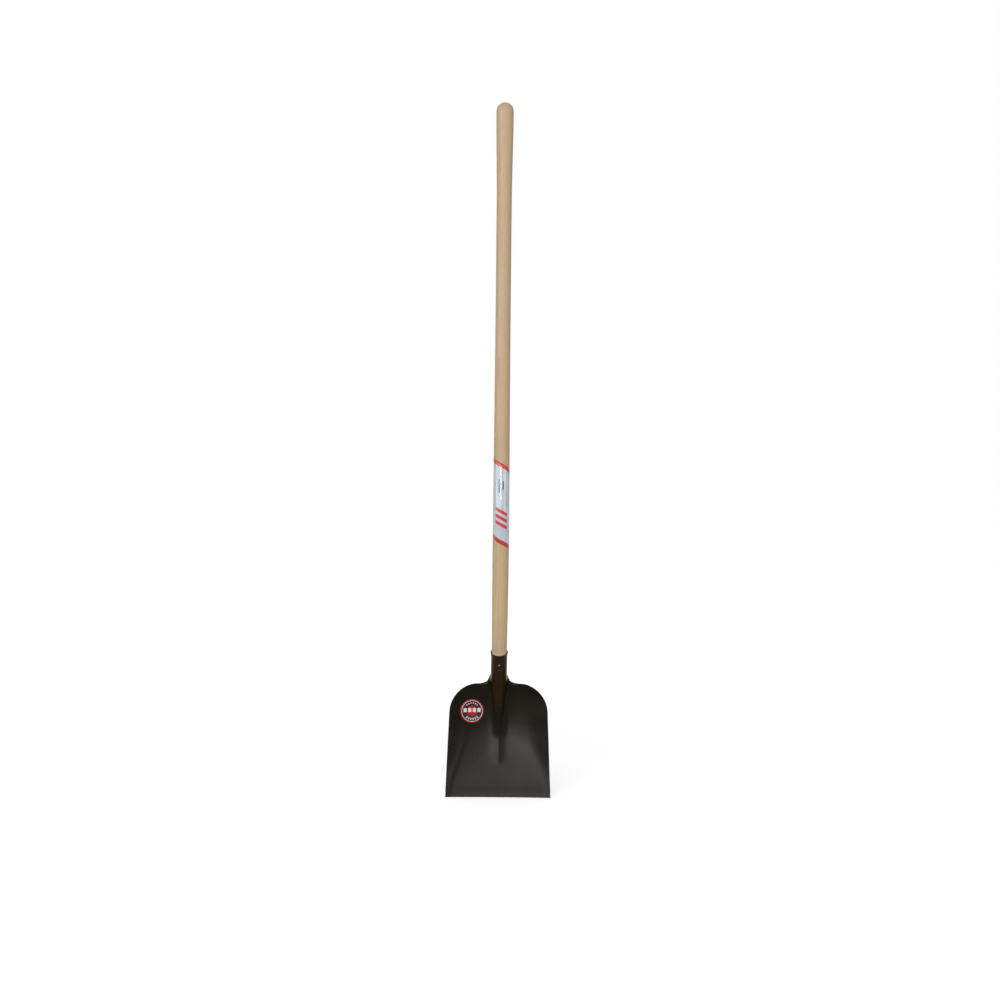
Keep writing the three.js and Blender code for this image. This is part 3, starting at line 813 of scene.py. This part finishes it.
def film_material():
    made, tree, shader = new_material("printed_film")
    sheet = add_node(tree, "UVMap", {}, uv_map="print").outputs[0]
    round_share, along_share, _ = parted(tree, sheet)
    marks = calc(tree, "SUBTRACT", 1.0, inside(tree, along_share, 0.5, 0.5 - BAND_SHARE, FILM_EDGE))
    for place in BAR_PLACES:
        bar = inside(tree, along_share, place, BAR_HALF_HEIGHT, FILM_EDGE)
        bar = times(tree, bar, inside(tree, round_share, FRONT_SHARE, BAR_HALF_WIDTH, 0.003))
        marks = either(tree, marks, bar)
    rules = 0.0
    for place, middle, half in RULES:
        rule = inside(tree, round_share, FRONT_SHARE + place, RULE_HALF_WIDTH, FILM_EDGE)
        rule = times(tree, rule, inside(tree, along_share, middle, half, FILM_EDGE))
        rules = either(tree, rules, rule)
    sheen = fade(tree, noise(tree, stretched(tree, sheet, (7.0, 3.0, 1.0)), 1.0, 2.0), 0.3, 0.7)
    colour = blended(tree, sheen, FILM_SILVER, FILM_SHADE)
    colour = blended(tree, rules, colour, RULE_GREY)
    colour = blended(tree, marks, colour, BAND_RED)
    ripples = noise(tree, stretched(tree, sheet, (26.0, 40.0, 1.0)), 1.0, 2.0)
    relief = bumped(tree, ripples, RIPPLE_DEPTH)
    set_inputs(tree, shader, {"Base Color": colour, "Roughness": FILM_ROUGH, "Normal": relief})
    set_inputs(tree, shader, {"Specular IOR Level": FILM_SHINE})
    set_inputs(tree, shader, {"Coat Weight": COAT_SHARE, "Coat Roughness": COAT_ROUGH})
    return made


label = hand_over(wrapped_label(), "label_film_wrap", "handle_label", film_material())
thicken(label, FILM, 1.0)

# %% [markdown]
# ## The round sticker
#
# A vinyl disc is stuck on the pan to the left of the ridge. It is thin and takes the pan's
# curve, so a flat disc is spun from a row of points, and each point is laid on the blade by a
# ray that meets the smoothed sheet. The flat disc's own plane is kept as its UV map.

# %% Sticker mesh
STICKER_RADIUS = 0.027
STICKER_RINGS = 12
STICKER_SIDES = 96
STICKER_LIFT = 0.00035
VINYL = 0.00018

sticker_low, sticker_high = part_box("blade_sticker")
sticker_centre = (sticker_low + sticker_high) / 2
width_share = (sticker_high.x - sticker_low.x) / (2 * STICKER_RADIUS)
height_share = (sticker_high.z - sticker_low.z) / (2 * STICKER_RADIUS)


def laid_sticker():
    row = [(STICKER_RADIUS * i / STICKER_RINGS, 0, 0) for i in range(STICKER_RINGS + 1)]
    bm = spun(row, STICKER_SIDES)
    flat = bm.loops.layers.uv.new("disc")
    for face in bm.faces:
        for loop in face.loops:
            loop[flat].uv = loop.vert.co.xy / STICKER_RADIUS
    for vert in bm.verts:
        x = sticker_centre.x + vert.co.x * width_share
        z = sticker_centre.z + vert.co.y * height_share
        in_front = Vector((x, cad_low.y - 1, z))
        hit, normal, _, _ = blade_surface.ray_cast(in_front, Vector((0, 1, 0)))
        vert.co = hit + normal * STICKER_LIFT
    bmesh.ops.recalc_face_normals(bm, faces=bm.faces)
    if sum(face.normal.y for face in bm.faces) > 0:
        bmesh.ops.reverse_faces(bm, faces=bm.faces)
    return bm


# %% [markdown]
# The print is generic and in the sticker's colours: a red rim, a thin white ring, a black ring
# with white ticks above and larger ones below, and a red middle with a row of white blocks
# across it. The distance from the disc's middle picks the ring, the angle round it places the
# ticks, and the place across it the blocks.

# %% Sticker material
STICKER_RED = paint(168, 12, 34)
STICKER_WHITE = paint(222, 218, 216)
STICKER_BLACK = paint(26, 20, 20)
MIDDLE_SHARE = 0.46          # radius of the red middle, as a share of the disc's
RING_SHARE = 0.87            # of the thin white ring
TICK_SHARE = 0.67            # of the middle of the ticks
TICK_ZONE = 0.756            # the ticks stop, between two of them, at this cosine of their angle
TICKS = 22
BLOCK_STEP = 0.39            # from one block to the next, with the middle between two
BLOCKS_REACH = 0.78
BLOCKS_HEIGHT = 0.17         # half the height of a block
BLOCKS_RISE = 0.08
VINYL_EDGE = 0.01            # softness of the print's edges
VINYL_ROUGH = 0.34
VINYL_SHINE = 0.2
BLISTER_DEPTH = 0.0003


def sticker_material():
    made, tree, shader = new_material("sticker_vinyl")
    disc = add_node(tree, "UVMap", {}, uv_map="disc").outputs[0]
    out = distance_out(tree, disc)
    across, up, _ = parted(tree, disc)
    turn = calc(tree, "ARCTAN2", up, across)
    beat = calc(tree, "COSINE", times(tree, turn, TICKS))
    tick_length = fade(tree, up, -0.1, 0.1, 0.1, 0.05)
    from_middle = calc(tree, "ABSOLUTE", calc(tree, "SUBTRACT", out, TICK_SHARE))
    long_enough = fade(tree, calc(tree, "SUBTRACT", from_middle, tick_length), 0.015, -0.015)
    tick = times(tree, fade(tree, beat, 0.0, 0.3), long_enough)
    aside = calc(tree, "DIVIDE", calc(tree, "ABSOLUTE", across), out)
    tick = times(tree, tick, fade(tree, aside, TICK_ZONE, TICK_ZONE - 0.01))
    ring_middle, ring_half = (MIDDLE_SHARE + RING_SHARE) / 2, (RING_SHARE - MIDDLE_SHARE) / 2
    black_ring = inside(tree, out, ring_middle, ring_half, VINYL_EDGE)
    white_ring = inside(tree, out, RING_SHARE, 0.02, VINYL_EDGE)
    block_beat = calc(tree, "COSINE", times(tree, across, 2 * math.pi / BLOCK_STEP))
    block_row = inside(tree, up, BLOCKS_RISE, BLOCKS_HEIGHT, VINYL_EDGE)
    block_row = times(tree, block_row, inside(tree, across, 0.0, BLOCKS_REACH, VINYL_EDGE))
    block = times(tree, fade(tree, block_beat, 0.65, 0.5), block_row)
    white_marks = either(tree, either(tree, tick, block), white_ring)
    colour = blended(tree, black_ring, STICKER_RED, STICKER_BLACK)
    colour = blended(tree, white_marks, colour, STICKER_WHITE)
    blisters = noise(tree, stretched(tree, disc, (5.0, 5.0, 1.0)), 1.0, 2.0)
    relief = bumped(tree, blisters, BLISTER_DEPTH)
    set_inputs(tree, shader, {"Base Color": colour, "Roughness": VINYL_ROUGH, "Normal": relief})
    set_inputs(tree, shader, {"Specular IOR Level": VINYL_SHINE})
    return made


sticker = hand_over(laid_sticker(), "round_sticker", "blade_sticker", sticker_material())
thicken(sticker, VINYL, -1.0)

# %% [markdown]
# ## The studio
#
# The photograph has a pure white ground and no visible lamp. The floor is pale and keeps a
# soft shadow. Where the camera or a reflection looks, some light is added to it, more with
# distance, so that it reads as white. The camera and the gloss see the room behind as white
# too, but it lights the shovel less than that.

# %% Floor and room
FLOOR_HALF = 14.0
FLOOR_PAINT = (0.8, 0.8, 0.8, 1.0)
LIFT_NEAR = 0.56             # added where the floor is seen, so that it reads as white
LIFT_FAR = 0.75
LIFT_START = 0.8             # metres from the shovel
LIFT_END = 3.5
ROOM_LIGHT = 0.45
WHITE = (1.0, 1.0, 1.0, 1.0)


def seen_share(tree):
    """One where a ray from the camera, a reflection or a clear piece looks."""
    path = add_node(tree, "LightPath", {}).outputs
    seen = either(tree, path["Is Camera Ray"], path["Is Glossy Ray"])
    return either(tree, seen, path["Is Transmission Ray"])


def floor_material():
    made, tree, shader = new_material("studio_floor")
    away = distance_out(tree, object_place(tree))
    lift = fade(tree, away, LIFT_START, LIFT_END, LIFT_NEAR, LIFT_FAR)
    glow = times(tree, seen_share(tree), lift)
    set_inputs(tree, shader, {"Base Color": FLOOR_PAINT, "Roughness": 0.9, "Specular IOR Level": 0.0})
    set_inputs(tree, shader, {"Emission Color": WHITE, "Emission Strength": glow})
    return made


floor_bm = bmesh.new()
bmesh.ops.create_grid(floor_bm, x_segments=1, y_segments=1, size=FLOOR_HALF)
floor_mesh = bpy.data.meshes.new("studio_floor")
floor_bm.to_mesh(floor_mesh)
floor_bm.free()
floor_mesh.materials.append(floor_material())
new_object("studio_floor", floor_mesh)

room = bpy.data.worlds.new("studio_room")
room.use_nodes = True
room_tree = room.node_tree
dim = room_tree.nodes["Background"]
set_inputs(room_tree, dim, {"Color": WHITE, "Strength": ROOM_LIGHT})
bright = add_node(room_tree, "Background", {"Color": WHITE, "Strength": 1.0})
views = {0: seen_share(room_tree), 1: dim.outputs[0], 2: bright.outputs[0]}
mixed = add_node(room_tree, "MixShader", views).outputs[0]
set_inputs(room_tree, room_tree.nodes["World Output"], {"Surface": mixed})
bpy.context.scene.world = room

# %% [markdown]
# The lamps stay at a plain level: a wide softbox high in front on the left, and a small lamp
# a little above the label's height. The steel itself shows mostly what it mirrors, so three
# large cards stand round it. They add gloss only and cast no light. The hollow lower half of
# the blade mirrors them, and its upper half mirrors the floor below their foot, which is why
# the photograph's blade is grey below and nearly black above.

# %% Lamps
LAMP_AIM = Vector((0, 0, 0.6))
LAMPS = (                    # name, place, width, height and watts
    ("key_softbox", (-1.1, -5.2, 2.6), 3.0, 3.6, 120.0),
    ("strip_lamp", (-0.6, -4.9, 0.95), 0.8, 0.5, 28.0),
)
GLOSS_CARDS = (
    ("wide_gloss_card", (-2.02, -5.0, 2.7), 6.2, 5.2, 470.0),
    ("right_gloss_card", (3.8, -3.6, 2.3), 2.6, 4.4, 150.0),
    ("left_gloss_card", (-4.7, -2.1, 2.3), 2.4, 4.4, 190.0),
)


def add_lamp(name, place, width, height, watts):
    data = bpy.data.lights.new(name, "AREA")
    data.shape = "RECTANGLE"
    data.energy = watts
    data.size = width
    data.size_y = height
    lamp = new_object(name, data)
    lamp.location = place
    lamp.rotation_euler = (LAMP_AIM - Vector(place)).to_track_quat("-Z", "Y").to_euler()
    lamp.visible_camera = False
    return lamp


for settings in LAMPS:
    add_lamp(*settings)
for settings in GLOSS_CARDS:
    add_lamp(*settings).visible_diffuse = False
